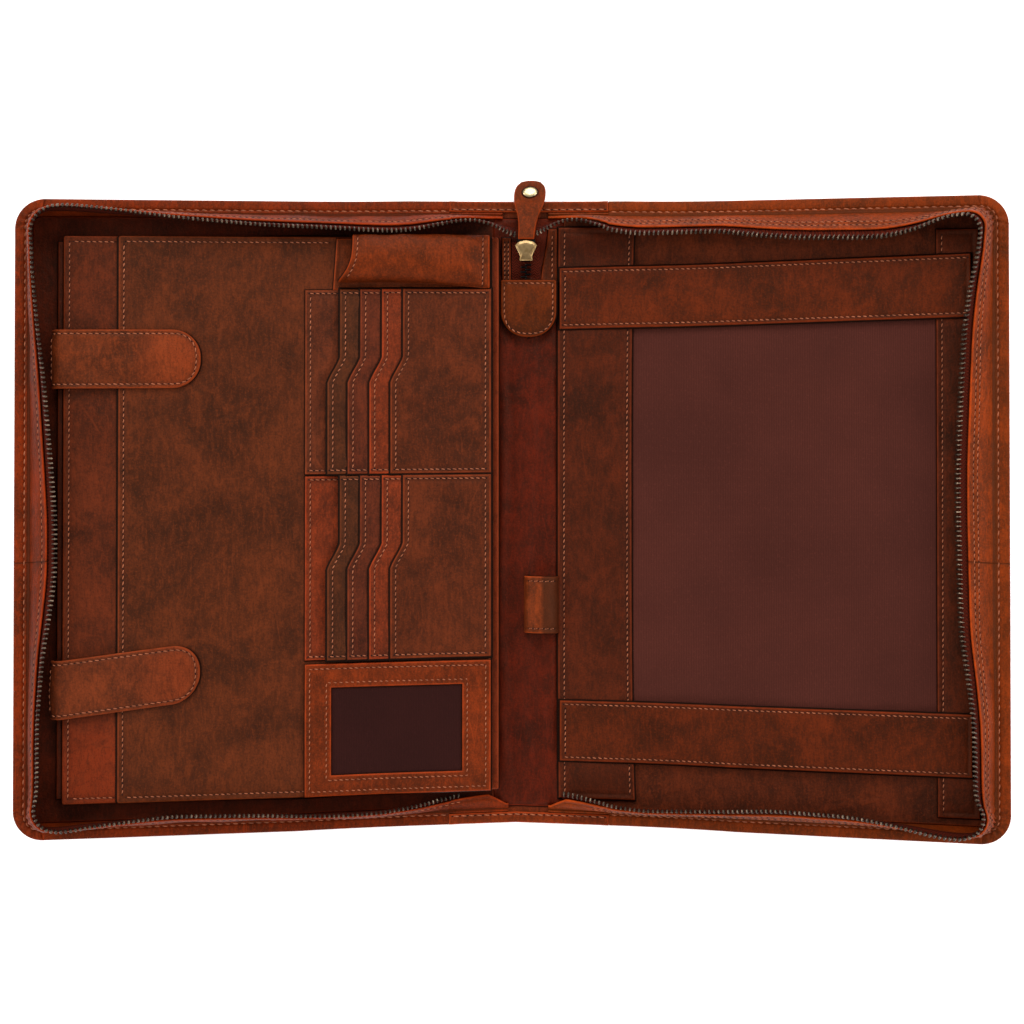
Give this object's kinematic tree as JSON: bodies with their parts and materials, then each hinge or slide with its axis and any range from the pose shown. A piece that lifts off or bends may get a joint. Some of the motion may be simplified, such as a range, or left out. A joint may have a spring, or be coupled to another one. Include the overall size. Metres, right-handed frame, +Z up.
{
  "type": "leather document case",
  "caption": "Zip-around leather document case lying open, with an organiser panel on the left half and a writing pad holder on the right half.",
  "frame": {"origin": "middle of the spine's underside, on the surface that the open case lies on", "axes": "+X across the open case towards the pad half, +Y along the spine towards the pull tab, +Z up"},
  "size_m": [0.5328, 0.3578, 0.0595],
  "materials": {
    "leather_outer": "waxed pull-up",
    "leather_mid": "waxed pull-up",
    "leather_dark": "waxed pull-up",
    "leather_deep": "waxed pull-up",
    "cloth_maroon": "fine ribbed",
    "zip_tape": "woven",
    "zip_metal": "dark plated",
    "brass": "satin"
  },
  "bodies": {
    "root": {"outer_shell": "leather_outer", "lining_left": "leather_deep", "lining_spine": "leather_mid", "lining_right": "leather_dark", "spine_hem_top": "leather_outer", "spine_hem_bottom": "leather_outer", "gusset_left_upper": "leather_outer", "gusset_left_lower": "leather_outer", "gusset_right_upper": "leather_outer", "gusset_right_lower": "leather_outer", "zip_tape_left": "zip_tape", "zip_tape_right": "zip_tape", "zip_teeth_left": "zip_metal", "zip_teeth_right": "zip_metal", "slider_body": "zip_metal", "slider_plate": "brass", "pull_tab": "leather_outer", "pull_rivet": "brass", "zip_tail_tape": "zip_tape", "zip_tail_chain": "zip_metal", "zip_tail_strip": "leather_outer", "zip_end_cover": "leather_mid", "document_pocket_wall": "leather_dark", "organiser_under": "leather_dark", "organiser_back": "leather_mid", "slip_pocket_front": "leather_dark", "strap_upper": "leather_outer", "strap_lower": "leather_outer", "card_base_1": "leather_dark", "card_slot_1_1": "leather_mid", "card_slot_1_2": "leather_outer", "card_slot_1_3": "leather_mid", "card_slot_1_4": "leather_dark", "card_base_2": "leather_dark", "card_slot_2_1": "leather_mid", "card_slot_2_2": "leather_outer", "card_slot_2_3": "leather_mid", "card_slot_2_4": "leather_dark", "window_cloth": "cloth_maroon", "window_frame": "leather_outer", "pouch_flap": "leather_mid", "pen_pouch": "leather_outer", "pen_loop": "leather_outer", "cloth_panel": "cloth_maroon", "band_left": "leather_dark", "band_right": "leather_dark", "pad_strap_top": "leather_mid", "pad_strap_bottom": "leather_mid"}
  },
  "joints": []
}
